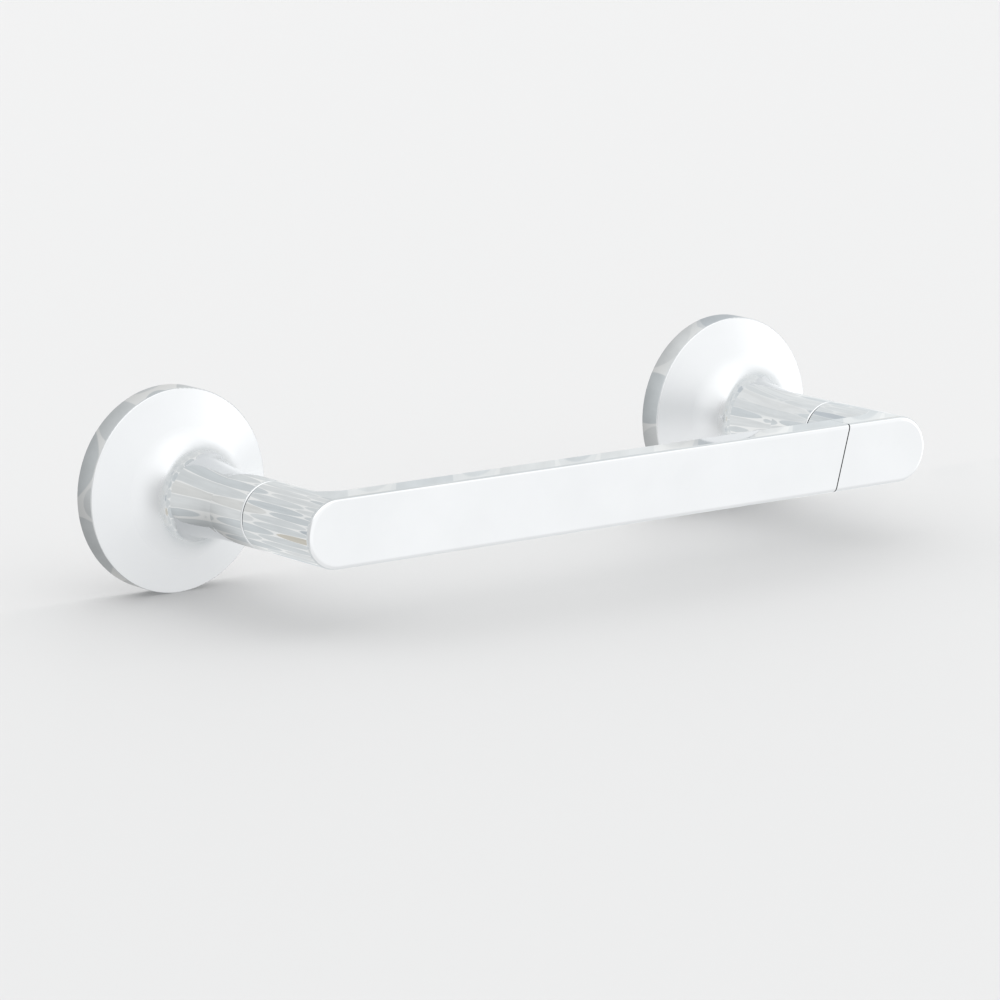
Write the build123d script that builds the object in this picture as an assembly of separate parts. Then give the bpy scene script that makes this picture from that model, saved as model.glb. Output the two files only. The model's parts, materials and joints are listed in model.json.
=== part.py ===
from build123d import *
from math import cos, radians, sin, sqrt, tan
import os

# Wall-mounted roll holder with a lift-up bar. Millimetres.
# Frame: the wall is the plane y = 0 and the object stands on its -Y side, +X runs along the
# bar from the pivot post to the rest post, +Z is up. The origin is on the wall, midway
# between the two post axes and level with them.
# "Depth" below is the distance from the wall, so a depth d lies at y = -d.

# Driving dimensions: overall
POST_SPACING = 188.0       # between the two post axes
FRONT_DEPTH = 78.0         # wall to the bar's front face
SECTION_R = 9.1            # radius of the posts and elbows, and half the bar's height
BAR_THICKNESS = 8.2
SEAM_DEPTH = 48.2          # front end of each flange and post casting
SEAM_GAP = 0.35            # shadow gap at the round seams and at the slanted seam
PIVOT_X = -POST_SPACING / 2
REST_X = POST_SPACING / 2

# Flange and post castings
FLANGE_R = 27.1
RIM_STRAIGHT = 6.2         # straight height of the rim, below its rounded edge
RIM_ROUND = 0.5
FACE_SLOPE = 22.0          # degrees, the face rises towards the post
POST_FILLET = 11.4         # concave blend from the flange face to the post's waist
WAIST_R = 75.0             # long concave curve from that blend to the straight post
WAIST_TURN = 12.0          # degrees turned along the waist
SEAM_ROUND = 0.45          # rounded edges on both sides of the round seam
RECESS_R = 23.4
RECESS_DEPTH = 5.2
CORE_MOUTH_R = 13.0
CORE_TAPER_DEPTH = 16.0
CORE_R = 6.2
BULKHEAD_DEPTH = 39.0      # back of the solid front wall of the post

# Wall brackets
BRACKET_R = 22.6
BRACKET_THICKNESS = 4.8
BRACKET_ROUND = 0.5
SCREW_SPACING = 30.0       # between the two wall-screw holes of a bracket
SCREW_HOLE_R = 2.25
SINK_R = 4.3               # countersink at the bracket's front face
NOTCH_WIDTH = 6.0
NOTCH_FLAT = 20.8          # height of the set screw's seat below the post axis

# Set screws in the underside of the flanges
SET_SCREW_R = 2.0
SET_SCREW_LENGTH = 5.0
SET_SCREW_DEPTH = 3.1      # distance of their axis from the wall
SET_SCREW_HOLE_R = 2.05
SET_SCREW_SOCKET = 2.0     # across flats
SET_SCREW_SOCKET_DEPTH = 2.2
SET_SCREW_CHAMFER = 0.3

# Bar, elbows and the slanted seam
INNER_BLEND = 4.0          # from the elbow's inner side to the back of the bar
FACE_EDGE = 1.3            # rounded edge of the front faces
SEAM_TOP = 18.4            # slanted seam, measured back from the rest post's axis
SEAM_BOTTOM = 23.4

# Pivot, on the axis of the left post
SHAFT_R = 3.0
SHAFT_BACK = 36.6
SHAFT_FRONT = 62.0
SHAFT_CHAMFER = 0.3
SHAFT_RUNNING = 0.05       # radial clearance in the bushes
BUSH_R = 4.2
BUSH_LENGTH = 4.4
BUSH_FLANGE_R = 5.2
FRONT_FLANGE = 0.28
REAR_FLANGE = 0.8
AXIAL_PLAY = 0.05
SPRING_WASHER_R = 5.2
SPRING_WASHER_BORE = 3.2
SPRING_WASHER_PLATE = 0.4
RETAINER_R = 5.6
RETAINER_THICKNESS = 1.0
RETAINER_BORE = 1.6
RETAINER_SCREW_R = 1.5
RETAINER_SCREW_LENGTH = 8.0
RETAINER_HEAD_R = 2.75
RETAINER_HEAD = 1.8
HEX_SOCKET = 2.0
HEX_SOCKET_DEPTH = 1.1

# Stop pin of the pivot and locating pin of the rest end piece
PIN_R = 0.9
PIN_CIRCLE = 6.6
PIN_CHAMFER = 0.2
PIN_BACK = 45.3
PIN_FRONT = 54.0
SWING = 90.0               # degrees of lift
STOP_START = -135.0        # stop pin at rest, seen from the front, from +X anticlockwise
SLOT_BACK = 44.9
SLOT_CLEARANCE = 0.2       # round the pin
SLOT_SPARE = 3.0           # degrees of slot past the pin at each end of the swing

# Rest end piece on the right post
LAND_R = 6.0               # raised land that keeps the shadow gap
SPIGOT_BACK = 42.2
SPIGOT_BORE_BACK = 42.0
SPIGOT_CLEARANCE = 0.05
END_SCREW_R = 2.0
END_SCREW_FRONT = 60.0
END_SCREW_CLEARANCE = 0.25
END_HEAD_R = 3.8
END_HEAD = 2.6
END_SOCKET = 3.0
END_SOCKET_DEPTH = 1.4
LOCK_WASHER_R = 3.6
LOCK_WASHER_BORE = 2.15
LOCK_WASHER_THICKNESS = 0.9
LOCK_WASHER_GAP = 0.4
LOCK_WASHER_SPLIT = 35.0   # degrees, slant of the split
LOCATING_ANGLE = -90.0
LOCATING_BACK = 45.0

# Rest pad let into the slanted face
PAD_R = 2.2
PAD_LENGTH = 4.0
PAD_PROUD = 0.28
PAD_ROUND = 0.15


def turned(points, x):
    """Solid of revolution about the post axis at x, from (radius, depth) points."""
    outline = Polyline(*[(r, -d) for r, d in points], close=True)
    return Pos(x, 0, 0) * revolve(make_face(outline), axis=Axis.Y)


def rod(radius, back, front, x, z=0.0):
    """Plain cylinder along Y between two depths."""
    return Pos(x, -back, z) * Rot(90, 0, 0) * Cylinder(
        radius, front - back, align=(Align.CENTER, Align.CENTER, Align.MIN)
    )


def chamfered_rod(radius, back, front, x, z, edge):
    """Cylinder along Y with both ends chamfered."""
    points = [
        (0, back),
        (radius - edge, back),
        (radius, back + edge),
        (radius, front - edge),
        (radius - edge, front),
        (0, front),
    ]
    return Pos(0, 0, z) * turned(points, x)


def washer(outer, inner, back, front, x):
    return turned([(inner, back), (outer, back), (outer, front), (inner, front)], x)


def hex_socket(across_flats, depth):
    """Hexagonal plug with its mouth at z = 0, running down -Z."""
    hexagon = RegularPolygon(across_flats / 2, 6, major_radius=False)
    return extrude(hexagon, -depth)


def on_pin_circle(x, angle):
    """x and z of a point of the pin circle, seen from the front."""
    return x + PIN_CIRCLE * cos(radians(angle)), PIN_CIRCLE * sin(radians(angle))


def flange_and_post_body(x):
    """Outer form: rounded rim, conical face, concave fillet, waisted post."""
    slope = radians(FACE_SLOPE)
    turn = radians(WAIST_TURN)
    corner = (FLANGE_R - RIM_ROUND, RIM_STRAIGHT)
    face_out = (corner[0] + RIM_ROUND * sin(slope), corner[1] + RIM_ROUND * cos(slope))
    fillet_r = SECTION_R + WAIST_R - (WAIST_R - POST_FILLET) * cos(turn)
    face_in_r = fillet_r - POST_FILLET * sin(slope)
    face_in_d = face_out[1] + (face_out[0] - face_in_r) * tan(slope)
    fillet_d = face_in_d + POST_FILLET * cos(slope)
    waist_d = fillet_d + (WAIST_R - POST_FILLET) * sin(turn)
    edge_d = SEAM_DEPTH - SEAM_ROUND
    outline = [
        Line((0, 0), (FLANGE_R, 0)),
        Line((FLANGE_R, 0), (FLANGE_R, -RIM_STRAIGHT)),
        CenterArc((corner[0], -corner[1]), RIM_ROUND, 0, FACE_SLOPE - 90),
        Line((face_out[0], -face_out[1]), (face_in_r, -face_in_d)),
        CenterArc(
            (fillet_r, -fillet_d), POST_FILLET, 90 + FACE_SLOPE, 90 - FACE_SLOPE - WAIST_TURN
        ),
        CenterArc((SECTION_R + WAIST_R, -waist_d), WAIST_R, 180 - WAIST_TURN, WAIST_TURN),
        Line((SECTION_R, -waist_d), (SECTION_R, -edge_d)),
        CenterArc((SECTION_R - SEAM_ROUND, -edge_d), SEAM_ROUND, 0, -90),
        Line((SECTION_R - SEAM_ROUND, -SEAM_DEPTH), (0, -SEAM_DEPTH)),
        Line((0, -SEAM_DEPTH), (0, 0)),
    ]
    return Pos(x, 0, 0) * revolve(make_face(outline), axis=Axis.Y)


def flange_and_post(x):
    """Casting with the bracket recess, the tapered core and the set-screw hole."""
    cavity = turned(
        [
            (0, 0),
            (RECESS_R, 0),
            (RECESS_R, RECESS_DEPTH),
            (CORE_MOUTH_R, RECESS_DEPTH),
            (CORE_R, CORE_TAPER_DEPTH),
            (CORE_R, BULKHEAD_DEPTH),
            (0, BULKHEAD_DEPTH),
        ],
        x,
    )
    hole = Pos(x, -SET_SCREW_DEPTH, -(FLANGE_R + RECESS_R) / 2) * Cylinder(
        SET_SCREW_HOLE_R, 2 * (FLANGE_R - RECESS_R)
    )
    return flange_and_post_body(x) - cavity - hole


def stop_slot():
    """Curved slot for the stop pin, in the front face of the pivot post."""
    first = STOP_START - SLOT_SPARE
    path = CenterArc((0, 0), PIN_CIRCLE, first, SWING + 2 * SLOT_SPARE)
    outline = SlotArc(path, 2 * (PIN_R + SLOT_CLEARANCE))
    floor = Plane(origin=(PIVOT_X, -SLOT_BACK, 0), x_dir=(1, 0, 0), z_dir=(0, -1, 0))
    return extrude(floor * outline, SEAM_DEPTH + SEAM_GAP - SLOT_BACK)


def pivot_flange_post():
    bore = rod(BUSH_R, BULKHEAD_DEPTH - 1, SEAM_DEPTH + 1, PIVOT_X)
    return flange_and_post(PIVOT_X) - bore - stop_slot()


def rest_flange_post():
    """The post's front takes the end piece's spigot, its screw and its locating pin."""
    spigot_bore = rod(BUSH_R, SPIGOT_BORE_BACK, SEAM_DEPTH + 1, REST_X)
    screw_hole = rod(END_SCREW_R + END_SCREW_CLEARANCE, BULKHEAD_DEPTH - 1, SEAM_DEPTH, REST_X)
    pin_x, pin_z = on_pin_circle(REST_X, LOCATING_ANGLE)
    pin_hole = rod(PIN_R, LOCATING_BACK, SEAM_DEPTH + 1, pin_x, pin_z)
    return flange_and_post(REST_X) - spigot_bore - screw_hole - pin_hole


def wall_bracket(x):
    """Disc with two countersunk wall-screw holes, one above the other, and a set-screw seat."""
    plate = turned(
        [
            (0, 0),
            (BRACKET_R, 0),
            (BRACKET_R, BRACKET_THICKNESS - BRACKET_ROUND),
            (BRACKET_R - BRACKET_ROUND, BRACKET_THICKNESS),
            (0, BRACKET_THICKNESS),
        ],
        x,
    )
    sink_depth = SINK_R - SCREW_HOLE_R
    for z in (-SCREW_SPACING / 2, SCREW_SPACING / 2):
        drill = turned(
            [
                (0, -1),
                (SCREW_HOLE_R, -1),
                (SCREW_HOLE_R, BRACKET_THICKNESS - sink_depth),
                (SINK_R, BRACKET_THICKNESS),
                (SINK_R, BRACKET_THICKNESS + 1),
                (0, BRACKET_THICKNESS + 1),
            ],
            x,
        )
        plate -= Pos(0, 0, z) * drill
    notch = Pos(x, 0, -NOTCH_FLAT) * Box(
        NOTCH_WIDTH, 3 * BRACKET_THICKNESS, BRACKET_R,
        align=(Align.CENTER, Align.CENTER, Align.MAX),
    )
    return plate - notch


def set_screw(x):
    """Socket grub screw, pointing up, its tip on the bracket's seat."""
    screw = Pos(x, -SET_SCREW_DEPTH, -NOTCH_FLAT) * Cylinder(
        SET_SCREW_R, SET_SCREW_LENGTH, align=(Align.CENTER, Align.CENTER, Align.MAX)
    )
    screw = chamfer(screw.edges().filter_by(GeomType.CIRCLE), SET_SCREW_CHAMFER)
    mouth = Pos(x, -SET_SCREW_DEPTH, -NOTCH_FLAT - SET_SCREW_LENGTH)
    return screw - mouth * Rot(180, 0, 0) * hex_socket(SET_SCREW_SOCKET, SET_SCREW_SOCKET_DEPTH)


def seam_x(z, offset):
    """x of the slanted seam at height z, moved to the left by offset along its normal."""
    run = (SEAM_BOTTOM - SEAM_TOP) / (2 * SECTION_R)
    middle = REST_X - (SEAM_TOP + SEAM_BOTTOM) / 2
    return middle + run * z - offset * sqrt(1 + run * run)


def left_of_seam(offset):
    """Block that holds everything on the bar's side of the slanted seam."""
    reach = 3 * SECTION_R
    corners = [
        (PIVOT_X - reach, -reach),
        (seam_x(-reach, offset), -reach),
        (seam_x(reach, offset), reach),
        (PIVOT_X - reach, reach),
    ]
    front = Plane(origin=(0, 0, 0), x_dir=(1, 0, 0), z_dir=(0, -1, 0))
    return extrude(front * make_face(Polyline(*corners, close=True)), 2 * FRONT_DEPTH)


def elbow(x, side):
    """Round elbow that flares into the back of the bar on its inner side, +1 towards +X."""
    back_depth = FRONT_DEPTH - BAR_THICKNESS
    start = back_depth - INNER_BLEND
    reach = SECTION_R + INNER_BLEND
    flare = make_face(
        [
            Line((0, -start), (SECTION_R, -start)),
            CenterArc((reach, -start), INNER_BLEND, 180, 90),
            Line((reach, -back_depth), (0, -back_depth)),
            Line((0, -back_depth), (0, -start)),
        ]
    )
    inner_side = Pos(reach / 2, (start + back_depth) / -2, 0) * Box(
        reach, INNER_BLEND, 2 * SECTION_R
    )
    seam_front = SEAM_DEPTH + SEAM_GAP
    edge_r = SECTION_R - SEAM_ROUND
    edge_d = seam_front + SEAM_ROUND
    column = make_face(
        [
            Line((0, -seam_front), (edge_r, -seam_front)),
            CenterArc((edge_r, -edge_d), SEAM_ROUND, 90, -90),
            Line((SECTION_R, -edge_d), (SECTION_R, -back_depth)),
            Line((SECTION_R, -back_depth), (0, -back_depth)),
            Line((0, -back_depth), (0, -seam_front)),
        ]
    )
    shape = revolve(column, axis=Axis.Y) + (revolve(flare, axis=Axis.Y) & inner_side)
    return Pos(x, 0, 0) * Rot(0, 0 if side > 0 else 180, 0) * shape


def bar_blank():
    """Full-length flat bar with round ends and a rounded front edge."""
    front = Plane(origin=(0, -FRONT_DEPTH, 0), x_dir=(1, 0, 0), z_dir=(0, -1, 0))
    outline = front * SlotCenterToCenter(POST_SPACING, 2 * SECTION_R)
    bar = extrude(outline, -BAR_THICKNESS)
    return fillet(bar.faces().sort_by(Axis.Y)[0].edges(), FACE_EDGE)


def swing_bar():
    """Elbow and flat bar in one piece, with blind holes for the shaft and the stop pin."""
    bar = (bar_blank() & left_of_seam(SEAM_GAP / 2)) + elbow(PIVOT_X, 1)
    pin_x, pin_z = on_pin_circle(PIVOT_X, STOP_START)
    shaft_hole = rod(SHAFT_R, SEAM_DEPTH, SHAFT_FRONT, PIVOT_X)
    pin_hole = rod(PIN_R, SEAM_DEPTH, PIN_FRONT, pin_x, pin_z)
    return bar - shaft_hole - pin_hole


def pad_place():
    """Frame on the rest end piece's slanted face, +Z out of the face."""
    tilt = (SEAM_BOTTOM - SEAM_TOP) / (2 * SECTION_R)
    length = sqrt(1 + tilt * tilt)
    return Plane(
        origin=(seam_x(0, -SEAM_GAP / 2), -FRONT_DEPTH + BAR_THICKNESS / 2, 0),
        x_dir=(0, -1, 0),
        z_dir=(-1 / length, 0, tilt / length),
    )


def rest_end_piece():
    """Fixed end of the bar: elbow, slanted seat, spigot and raised land."""
    end = (bar_blank() + elbow(REST_X, -1)) - left_of_seam(-SEAM_GAP / 2)
    land = rod(LAND_R, SEAM_DEPTH, SEAM_DEPTH + 1, REST_X)
    spigot = rod(BUSH_R - SPIGOT_CLEARANCE, SPIGOT_BACK, SEAM_DEPTH + 1, REST_X)
    screw_hole = rod(END_SCREW_R, SPIGOT_BACK - 1, END_SCREW_FRONT, REST_X)
    pin_x, pin_z = on_pin_circle(REST_X, LOCATING_ANGLE)
    pin_hole = rod(PIN_R, SEAM_DEPTH - 1, PIN_FRONT, pin_x, pin_z)
    pocket = pad_place() * Cylinder(
        PAD_R, PAD_LENGTH - PAD_PROUD, align=(Align.CENTER, Align.CENTER, Align.MAX)
    )
    return end + land + spigot - screw_hole - pin_hole - pocket


def rest_pad():
    pad = Cylinder(PAD_R, PAD_LENGTH, align=(Align.CENTER, Align.CENTER, Align.MAX))
    pad = fillet(pad.edges().group_by(Axis.Z)[-1], PAD_ROUND)
    return pad_place() * Pos(0, 0, PAD_PROUD) * pad


def front_bush():
    """Flanged bush, its flange filling the round seam."""
    return turned(
        [
            (SHAFT_R + SHAFT_RUNNING, SEAM_DEPTH - BUSH_LENGTH),
            (BUSH_R, SEAM_DEPTH - BUSH_LENGTH),
            (BUSH_R, SEAM_DEPTH),
            (BUSH_FLANGE_R, SEAM_DEPTH),
            (BUSH_FLANGE_R, SEAM_DEPTH + FRONT_FLANGE),
            (SHAFT_R + SHAFT_RUNNING, SEAM_DEPTH + FRONT_FLANGE),
        ],
        PIVOT_X,
    )


def rear_bush():
    return turned(
        [
            (SHAFT_R + SHAFT_RUNNING, BULKHEAD_DEPTH - REAR_FLANGE),
            (BUSH_FLANGE_R, BULKHEAD_DEPTH - REAR_FLANGE),
            (BUSH_FLANGE_R, BULKHEAD_DEPTH),
            (BUSH_R, BULKHEAD_DEPTH),
            (BUSH_R, BULKHEAD_DEPTH + BUSH_LENGTH),
            (SHAFT_R + SHAFT_RUNNING, BULKHEAD_DEPTH + BUSH_LENGTH),
        ],
        PIVOT_X,
    )


def pivot_shaft():
    shaft = chamfered_rod(SHAFT_R, SHAFT_BACK, SHAFT_FRONT, PIVOT_X, 0, SHAFT_CHAMFER)
    thread = rod(RETAINER_SCREW_R, SHAFT_BACK - 1, SHAFT_BACK + RETAINER_SCREW_LENGTH, PIVOT_X)
    return shaft - thread


def spring_washer():
    """Conical spring washer between the retaining washer and the rear bush."""
    back = SHAFT_BACK
    front = BULKHEAD_DEPTH - REAR_FLANGE - AXIAL_PLAY
    return turned(
        [
            (SPRING_WASHER_BORE, front - SPRING_WASHER_PLATE),
            (SPRING_WASHER_R, back),
            (SPRING_WASHER_R, back + SPRING_WASHER_PLATE),
            (SPRING_WASHER_BORE, front),
        ],
        PIVOT_X,
    )


def retaining_washer():
    return washer(RETAINER_R, RETAINER_BORE, SHAFT_BACK - RETAINER_THICKNESS, SHAFT_BACK, PIVOT_X)


def socket_screw(radius, head_r, head, socket, socket_depth, seat, front, x):
    """Cylinder-head screw along Y, its head behind the seat depth."""
    points = [
        (0, seat - head),
        (head_r - PIN_CHAMFER, seat - head),
        (head_r, seat - head + PIN_CHAMFER),
        (head_r, seat),
        (radius, seat),
        (radius, front),
        (0, front),
    ]
    mouth = Plane(origin=(x, -(seat - head), 0), x_dir=(1, 0, 0), z_dir=(0, 1, 0))
    return turned(points, x) - mouth * hex_socket(socket, socket_depth)


def retaining_screw():
    seat = SHAFT_BACK - RETAINER_THICKNESS
    return socket_screw(
        RETAINER_SCREW_R, RETAINER_HEAD_R, RETAINER_HEAD, HEX_SOCKET, HEX_SOCKET_DEPTH,
        seat, seat + RETAINER_SCREW_LENGTH, PIVOT_X,
    )


def rest_end_screw():
    seat = BULKHEAD_DEPTH - LOCK_WASHER_THICKNESS
    return socket_screw(
        END_SCREW_R, END_HEAD_R, END_HEAD, END_SOCKET, END_SOCKET_DEPTH,
        seat, END_SCREW_FRONT - 1, REST_X,
    )


def lock_washer():
    """Split spring washer under the end screw's head."""
    back = BULKHEAD_DEPTH - LOCK_WASHER_THICKNESS
    ring = washer(LOCK_WASHER_R, LOCK_WASHER_BORE, back, BULKHEAD_DEPTH, REST_X)
    middle = (back + BULKHEAD_DEPTH) / 2
    split = Pos(REST_X + LOCK_WASHER_R, -middle, 0) * Rot(LOCK_WASHER_SPLIT, 0, 0) * Box(
        2 * LOCK_WASHER_R, 4 * LOCK_WASHER_THICKNESS, LOCK_WASHER_GAP
    )
    return ring - split


def dowel(x, angle, back):
    pin_x, pin_z = on_pin_circle(x, angle)
    return chamfered_rod(PIN_R, back, PIN_FRONT, pin_x, pin_z, PIN_CHAMFER)


PARTS = {
    "pivot_wall_bracket": wall_bracket(PIVOT_X),
    "rest_wall_bracket": wall_bracket(REST_X),
    "pivot_flange_post": pivot_flange_post(),
    "rest_flange_post": rest_flange_post(),
    "flange_set_screws": Compound(children=[set_screw(PIVOT_X), set_screw(REST_X)]),
    "front_bush": front_bush(),
    "rear_bush": rear_bush(),
    "pivot_shaft": pivot_shaft(),
    "stop_pin": dowel(PIVOT_X, STOP_START, PIN_BACK),
    "spring_washer": spring_washer(),
    "retaining_washer": retaining_washer(),
    "retaining_screw": retaining_screw(),
    "swing_bar": swing_bar(),
    "rest_end_piece": rest_end_piece(),
    "rest_end_screw": rest_end_screw(),
    "rest_end_lock_washer": lock_washer(),
    "rest_end_locating_pin": dowel(REST_X, LOCATING_ANGLE, LOCATING_BACK),
    "rest_pad": rest_pad(),
}

os.makedirs("parts", exist_ok=True)
for node, shape in PARTS.items():
    export_step(shape, f"parts/{node}.step")
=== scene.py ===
import json
import math

import bpy
from mathutils import Matrix, Vector


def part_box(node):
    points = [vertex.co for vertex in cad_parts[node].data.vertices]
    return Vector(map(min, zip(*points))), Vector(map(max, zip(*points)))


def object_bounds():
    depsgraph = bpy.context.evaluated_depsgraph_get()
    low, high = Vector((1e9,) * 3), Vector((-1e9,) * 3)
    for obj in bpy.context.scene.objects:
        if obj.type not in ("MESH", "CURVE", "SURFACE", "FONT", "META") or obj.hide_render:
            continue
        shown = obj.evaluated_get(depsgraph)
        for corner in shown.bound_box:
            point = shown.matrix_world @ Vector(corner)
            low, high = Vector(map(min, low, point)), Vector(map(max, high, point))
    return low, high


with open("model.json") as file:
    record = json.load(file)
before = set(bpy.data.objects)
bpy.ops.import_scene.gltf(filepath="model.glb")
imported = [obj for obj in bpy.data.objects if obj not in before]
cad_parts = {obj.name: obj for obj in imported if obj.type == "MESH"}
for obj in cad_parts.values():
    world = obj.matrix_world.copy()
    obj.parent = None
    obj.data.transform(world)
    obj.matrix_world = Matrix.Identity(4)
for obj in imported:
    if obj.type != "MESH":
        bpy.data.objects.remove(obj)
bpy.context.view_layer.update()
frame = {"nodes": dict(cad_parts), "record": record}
NODES = frame["nodes"]

# Camera, in metres and degrees: azimuth 0 looks along +Y, elevation is above the horizon.
CAMERA_PLACE = Vector((-0.8020, -1.0648, 0.2519))
CAMERA_AZIMUTH = -37.55
CAMERA_ELEVATION = 11.32
CAMERA_ROLL = 0.055
CAMERA_LENS = 179.07
SENSOR = 36.0

# Surroundings, in metres. The tiles are a painted reflection: a glowing card that only the
# holder's bright metal reflects.
FLOOR_SIZE = 12.0
FLOOR_COLOUR = (0.585, 0.585, 0.585, 1)
CARD_SIZE = 4.0
CARD_PLACE = 0.0006
TILE_PITCH = 0.02047
TILE_START = (0.0266, 0.0077)
TILE_RADIUS = 0.4725 * TILE_PITCH
TILE_EDGE = (-0.0002, 0.0003)
JOINT_COLOUR = (0.99, 0.99, 0.975, 1)
STONE_TONES = [
    (0.0, (0.54, 0.58, 0.62)),
    (0.14, (0.70, 0.735, 0.75)),
    (0.5, (0.78, 0.805, 0.81)),
    (0.96, (0.85, 0.86, 0.855)),
    (1.0, (0.70, 0.66, 0.58)),
]

# Each ramp below is (start, end, value before the start, value past the end).
# Studio light by direction: towards the window glow, by x, by z and by y.
GLOW_TOWARDS = Vector((0.95, -0.22, 0.12)).normalized()
GLOW = (0.76, 1.0, 0.0, 0.55)
BASE_BY_X = (0.2, 0.5, 1.33, 1.268)
LOW_BY_Z = (-0.9, -0.1, 0.82, 1.0)
HIGH_BY_Z = (0.50, 0.85, 1.0, 1.17)
FAR_LEFT_BY_X = (-0.98, -0.6, 0.62, 1.0)
BEHIND_BY_Y = (0.05, 0.6, 0.0, 0.45)
BEHIND_BY_Z = (-0.5, 0.15, 1.0, 0.0)
STUDIO_TINT = (0.996, 0.998, 1.0, 1)

# Painted light of the card by x; its tile joints fade above the bar by z and x, a painted
# darkening there.
CARD_BY_X = (-0.2, 0.3, 1.06, 1.25)
FAINT_BY_Z = (0.014, 0.022, 0.0, 0.6)
FAINT_BY_X = (-0.075, -0.045, 0.0, 1.0)

# Painted shade of a flange on the card: how far it hangs below the axis, where it starts and ends
# past the flange's edge, and its light there.
SHADE_DROP = 0.006
SHADE_REACH = (-0.004, 0.016)
SHADE_LEVEL = (0.50, 1.0)

# Satin faces of the flanges: distance from the post axis over which they fade into the post's
# mirror finish, their y at the rim, and the y that no flange reaches.
FLANGES = ("pivot_flange_post", "rest_flange_post")
SATIN_BY_RADIUS = (0.0098, 0.0138, 0.0, 1.0)
SATIN_BY_Y = (-0.0062, -0.0067, 0.0, 1.0)
SATIN_END = -0.030


# ---------------------------------------------------------------- node helpers


def new_tree(name):
    """A material and its emptied tree."""
    material = bpy.data.materials.new(name)
    material.use_nodes = True
    material.node_tree.nodes.clear()
    return material, material.node_tree


def new_material(name):
    """A material, its tree and its Principled shader."""
    material, tree = new_tree(name)
    output = tree.nodes.new("ShaderNodeOutputMaterial")
    shader = tree.nodes.new("ShaderNodeBsdfPrincipled")
    tree.links.new(shader.outputs["BSDF"], output.inputs["Surface"])
    return material, tree, shader


def add(tree, kind, settings=(), **inputs):
    """A node with its settings and input values; an input given as a socket is linked."""
    node = tree.nodes.new(kind)
    for key, value in dict(settings).items():
        setattr(node, key, value)
    for key, value in inputs.items():
        put(tree, node, key, value)
    return node


def put(tree, node, key, value):
    socket = node.inputs[int(key[1:])] if key[0] == "i" and key[1:].isdigit() else node.inputs[key]
    if isinstance(value, bpy.types.NodeSocket):
        tree.links.new(value, socket)
    else:
        socket.default_value = value


def position(tree, scale):
    """Object coordinates times a scale; a CAD node's object coordinates are the row frame."""
    coordinates = tree.nodes.new("ShaderNodeTexCoord").outputs["Object"]
    mapping = add(tree, "ShaderNodeMapping", Scale=scale, Vector=coordinates)
    return mapping.outputs["Vector"]


def noise(tree, scale, detail=3.0, roughness=0.5, vector=None):
    node = add(tree, "ShaderNodeTexNoise", Scale=scale, Detail=detail, Roughness=roughness)
    if vector is not None:
        put(tree, node, "Vector", vector)
    return node.outputs["Fac"]


def remap(tree, value, low, high, to_low, to_high):
    node = add(tree, "ShaderNodeMapRange", i0=value, i1=low, i2=high, i3=to_low, i4=to_high)
    return node.outputs["Result"]


def bump(tree, shader, height, strength, distance):
    node = add(tree, "ShaderNodeBump", Strength=strength, Distance=distance, Height=height)
    put(tree, shader, "Normal", node.outputs["Normal"])


def vector_math(tree, operation, first, second=None, scale=None):
    node = add(tree, "ShaderNodeVectorMath", {"operation": operation}, i0=first)
    if second is not None:
        put(tree, node, "i1", second)
    if scale is not None:
        put(tree, node, "Scale", scale)
    return node.outputs["Value" if operation in ("DOT_PRODUCT", "LENGTH") else "Vector"]


def maths(tree, operation, first, second=0.0):
    node = add(tree, "ShaderNodeMath", {"operation": operation}, i0=first, i1=second)
    return node.outputs["Value"]


def product(tree, first, *others):
    for other in others:
        first = maths(tree, "MULTIPLY", first, other)
    return first


def smooth(tree, value, low, high, to_low, to_high):
    node = add(
        tree, "ShaderNodeMapRange", {"interpolation_type": "SMOOTHERSTEP"},
        i0=value, i1=low, i2=high, i3=to_low, i4=to_high,
    )
    return node.outputs["Result"]


def wall_plane(tree):
    """Separated object coordinates, and a vector that holds their x and z."""
    place = add(tree, "ShaderNodeTexCoord").outputs["Object"]
    split = add(tree, "ShaderNodeSeparateXYZ", Vector=place)
    plane = add(tree, "ShaderNodeCombineXYZ", X=split.outputs["X"], Y=split.outputs["Z"])
    return split, plane.outputs["Vector"]


def from_flange(tree, plane, node, drop=0.0):
    """Distance from a flange's axis, or from a line this far below it, and its radius."""
    low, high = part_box(node)
    axis = ((low.x + high.x) / 2, (low.z + high.z) / 2 - drop, 0)
    away = vector_math(tree, "LENGTH", vector_math(tree, "SUBTRACT", plane, axis))
    return away, (high.z - low.z) / 2


# ---------------------------------------------------------------- materials


def satin_faces(tree):
    """1 on the conical faces of the two flanges, fading to 0 at the posts; 0 on the rims."""
    split, plane = wall_plane(tree)
    face = 0.0
    for node in FLANGES:
        away, radius = from_flange(tree, plane, node)
        one = product(
            tree, smooth(tree, away, *SATIN_BY_RADIUS), maths(tree, "LESS_THAN", away, radius)
        )
        face = maths(tree, "ADD", face, one)
    past_rim = smooth(tree, split.outputs["Y"], *SATIN_BY_Y)
    return product(
        tree, face, past_rim, maths(tree, "GREATER_THAN", split.outputs["Y"], SATIN_END)
    )


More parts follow.
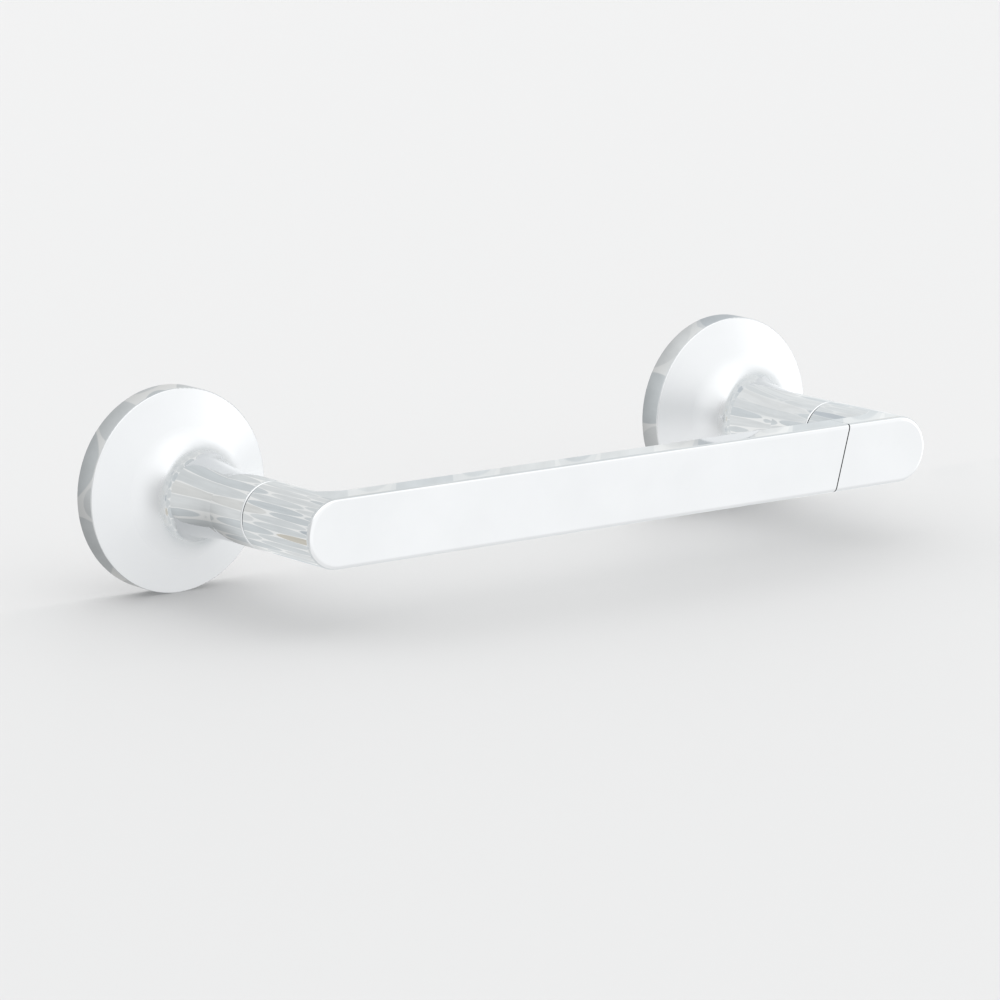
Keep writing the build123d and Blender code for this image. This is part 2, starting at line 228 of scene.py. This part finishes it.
def chrome():
    """Bright chrome plate: cool mirror, faint haze where wiped, satin faces on the flanges."""
    material, tree, shader = new_material("chrome")
    place = position(tree, (1, 1, 1))
    smear = noise(tree, 38.0, 4.0, 0.55, place)
    fine = noise(tree, 900.0, 2.0, 0.5, place)
    put(tree, shader, "Metallic", 1.0)
    worn = remap(tree, smear, 0.3, 0.7, 0, 1)
    colour = add(tree, "ShaderNodeMix", {"data_type": "RGBA"}, i0=worn)
    colour.inputs[6].default_value = (0.694, 0.706, 0.716, 1)
    colour.inputs[7].default_value = (0.728, 0.740, 0.750, 1)
    put(tree, shader, "Base Color", colour.outputs[2])
    haze = remap(tree, smear, 0.45, 0.8, 0.022, 0.05)
    satin = product(tree, satin_faces(tree), remap(tree, smear, 0.3, 0.7, 0.40, 0.44))
    put(tree, shader, "Roughness", maths(tree, "MAXIMUM", haze, satin))
    bump(tree, shader, fine, 0.02, 0.00002)
    return material


def cast_zinc():
    material, tree, shader = new_material("cast_zinc")
    place = position(tree, (1, 1, 1))
    grain = noise(tree, 1400.0, 3.0, 0.6, place)
    cloud = noise(tree, 90.0, 3.0, 0.5, place)
    put(tree, shader, "Metallic", 1.0)
    colour = add(tree, "ShaderNodeMix", {"data_type": "RGBA"}, i0=cloud)
    colour.inputs[6].default_value = (0.40, 0.41, 0.42, 1)
    colour.inputs[7].default_value = (0.56, 0.57, 0.58, 1)
    put(tree, shader, "Base Color", colour.outputs[2])
    put(tree, shader, "Roughness", remap(tree, grain, 0.3, 0.7, 0.38, 0.55))
    bump(tree, shader, grain, 0.35, 0.00005)
    return material


def turned_steel():
    material, tree, shader = new_material("turned_steel")
    lines = noise(tree, 60.0, 2.0, 0.6, position(tree, (1, 60, 1)))
    put(tree, shader, "Metallic", 1.0)
    put(tree, shader, "Base Color", (0.60, 0.60, 0.61, 1))
    put(tree, shader, "Roughness", remap(tree, lines, 0.3, 0.7, 0.22, 0.38))
    bump(tree, shader, lines, 0.15, 0.00002)
    return material


def black_steel():
    material, tree, shader = new_material("black_steel")
    cloud = noise(tree, 500.0, 3.0, 0.5, position(tree, (1, 1, 1)))
    put(tree, shader, "Metallic", 0.8)
    put(tree, shader, "Base Color", (0.06, 0.06, 0.065, 1))
    put(tree, shader, "Roughness", remap(tree, cloud, 0.3, 0.7, 0.35, 0.5))
    bump(tree, shader, cloud, 0.1, 0.00002)
    return material


def plastic(name, colour, rough):
    material, tree, shader = new_material(name)
    grain = noise(tree, 1800.0, 2.0, 0.5, position(tree, (1, 1, 1)))
    put(tree, shader, "Base Color", (*colour, 1))
    put(tree, shader, "Roughness", remap(tree, grain, 0.3, 0.7, rough - 0.06, rough + 0.06))
    bump(tree, shader, grain, 0.12, 0.00002)
    return material


def paint_cad_nodes():
    finishes = {
        "chrome": chrome(),
        "cast_bracket": cast_zinc(),
        "steel": turned_steel(),
        "dark_steel": black_steel(),
        "bush_plastic": plastic("acetal", (0.035, 0.035, 0.038), 0.45),
        "pad_plastic": plastic("bumper", (0.70, 0.70, 0.67), 0.5),
    }
    for entry in frame["record"]["subparts"]:
        obj = NODES[entry["node"]]
        obj.data.materials.clear()
        obj.data.materials.append(finishes[entry["material_slot"]])


# ---------------------------------------------------------------- surroundings


def make_floor():
    """Pale floor under the holder. The metal doesn't mirror it: the studio's light does that."""
    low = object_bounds()[0]
    bpy.ops.mesh.primitive_plane_add(size=FLOOR_SIZE, location=(0, 0, low.z))
    floor = bpy.context.object
    floor.name = "floor"
    material, tree, shader = new_material("floor_paint")
    put(tree, shader, "Base Color", FLOOR_COLOUR)
    put(tree, shader, "Roughness", 0.6)
    floor.data.materials.append(material)
    floor.visible_glossy = False


def make_world():
    """Soft studio: a wide window glow from the right, dimmer low down, far left and behind."""
    world = bpy.data.worlds.new("studio")
    world.use_nodes = True
    tree = world.node_tree
    background = tree.nodes["Background"]
    direction = add(tree, "ShaderNodeTexCoord").outputs["Generated"]
    towards = vector_math(tree, "DOT_PRODUCT", direction, GLOW_TOWARDS)
    split = add(tree, "ShaderNodeSeparateXYZ", Vector=direction)
    east, north, height = (split.outputs[axis] for axis in "XYZ")
    base = maths(tree, "ADD", smooth(tree, towards, *GLOW), smooth(tree, east, *BASE_BY_X))
    behind = product(tree, smooth(tree, north, *BEHIND_BY_Y), smooth(tree, height, *BEHIND_BY_Z))
    level = product(
        tree, base,
        smooth(tree, height, *LOW_BY_Z),
        smooth(tree, height, *HIGH_BY_Z),
        smooth(tree, east, *FAR_LEFT_BY_X),
        maths(tree, "SUBTRACT", 1.0, behind),
    )
    background.inputs["Color"].default_value = STUDIO_TINT
    put(tree, background, "Strength", level)
    bpy.context.scene.world = world


def tile_lattice(tree, plane, shift):
    """Distance to the nearest centre of one of the two square-set halves, and that centre."""
    step = (TILE_PITCH * math.sqrt(3), TILE_PITCH, 1)
    start = (TILE_START[0] + shift[0] * step[0], TILE_START[1] + shift[1] * step[1], 0)
    half = (step[0] / 2, step[1] / 2, 0)
    moved = vector_math(tree, "SUBTRACT", plane, tuple(s - h for s, h in zip(start, half)))
    cell = vector_math(tree, "SNAP", moved, step)
    local = vector_math(tree, "SUBTRACT", vector_math(tree, "SUBTRACT", moved, cell), half)
    return vector_math(tree, "LENGTH", local), vector_math(tree, "ADD", cell, (*shift, 0))


def make_card():
    """Reflection card: a glowing wall of round stone tiles, open under the flanges, for mirror
    rays: a painted reflection.
    """
    half = CARD_SIZE / 2
    square = ((-half, -half), (half, -half), (half, half), (-half, half))
    corners = [(x, CARD_PLACE, z) for x, z in square]
    mesh = bpy.data.meshes.new("reflection_card")
    mesh.from_pydata(corners, [], [(0, 1, 2, 3)])
    card = bpy.data.objects.new("reflection_card", mesh)
    bpy.context.scene.collection.objects.link(card)
    card.visible_camera = False
    card.visible_diffuse = False
    card.visible_transmission = False
    card.visible_volume_scatter = False
    card.visible_shadow = False

    # The card glows with its own light: a painted reflection of a tiled wall, seen only in mirror
    # rays.
    material, tree = new_tree("glowing_tile_reflection")
    split, plane = wall_plane(tree)
    near_a, centre_a = tile_lattice(tree, plane, (0, 0))
    near_b, centre_b = tile_lattice(tree, plane, (0.5, 0.5))
    nearer_a = maths(tree, "LESS_THAN", near_a, near_b)
    near = maths(tree, "MINIMUM", near_a, near_b)
    centre = add(
        tree, "ShaderNodeMix", {"data_type": "VECTOR"}, i0=nearer_a, i4=centre_b, i5=centre_a
    )
    chance = add(
        tree, "ShaderNodeTexWhiteNoise", {"noise_dimensions": "3D"}, Vector=centre.outputs[1]
    )

    stone = tree.nodes.new("ShaderNodeValToRGB")
    put(tree, stone, "Fac", chance.outputs["Value"])
    ramp = stone.color_ramp.elements
    while len(ramp) < len(STONE_TONES):
        ramp.new(0.5)
    for element, (place_on_ramp, colour) in zip(ramp, STONE_TONES):
        element.position = place_on_ramp
        element.color = (*colour, 1)
    vein = remap(tree, noise(tree, 130.0, 4.0, 0.6, plane), 0.3, 0.7, 0.93, 1.05)
    veined = vector_math(tree, "SCALE", stone.outputs["Color"], scale=vein)
    edge = smooth(tree, near, *(TILE_RADIUS + step for step in TILE_EDGE), 0.0, 1.0)
    # Painted darkening of the reflection: the bright joints between tiles fade above the bar.
    faint = product(
        tree,
        smooth(tree, split.outputs["Z"], *FAINT_BY_Z),
        smooth(tree, split.outputs["X"], *FAINT_BY_X),
    )
    joint = product(tree, edge, maths(tree, "SUBTRACT", 1.0, faint))
    wall = add(tree, "ShaderNodeMix", {"data_type": "RGBA"}, i0=joint, i6=veined)
    wall.inputs[7].default_value = JOINT_COLOUR

    # Painted light: the card's glow grows brighter towards +x.
    level = smooth(tree, split.outputs["X"], *CARD_BY_X)
    covered = 0.0
    # Painted shade: the glow dims round each flange, centred a little below its axis.
    for node in FLANGES:
        away, radius = from_flange(tree, plane, node, SHADE_DROP)
        shade = smooth(tree, away, *(radius + step for step in SHADE_REACH), *SHADE_LEVEL)
        level = product(tree, level, shade)
        away, radius = from_flange(tree, plane, node)
        covered = maths(tree, "ADD", covered, maths(tree, "LESS_THAN", away, radius))
    emission = add(tree, "ShaderNodeEmission", Color=wall.outputs[2], Strength=level)
    clear = add(tree, "ShaderNodeBsdfTransparent")
    mixed = add(
        tree, "ShaderNodeMixShader",
        i0=covered, i1=emission.outputs["Emission"], i2=clear.outputs["BSDF"],
    )
    output = tree.nodes.new("ShaderNodeOutputMaterial")
    tree.links.new(mixed.outputs["Shader"], output.inputs["Surface"])
    material.cycles.emission_sampling = "NONE"
    mesh.materials.append(material)


def make_camera():
    data = bpy.data.cameras.new("camera")
    data.lens = CAMERA_LENS
    data.sensor_width = SENSOR
    data.clip_start = 0.05
    data.clip_end = 50
    camera = bpy.data.objects.new("camera", data)
    bpy.context.scene.collection.objects.link(camera)
    turn = (
        Matrix.Rotation(math.radians(CAMERA_AZIMUTH), 4, "Z")
        @ Matrix.Rotation(math.radians(90 - CAMERA_ELEVATION), 4, "X")
        @ Matrix.Rotation(math.radians(CAMERA_ROLL), 4, "Z")
    )
    camera.matrix_world = Matrix.Translation(CAMERA_PLACE) @ turn
    bpy.context.scene.camera = camera


bpy.context.scene.view_settings.view_transform = "Standard"
paint_cad_nodes()
make_floor()
make_world()
make_card()
make_camera()
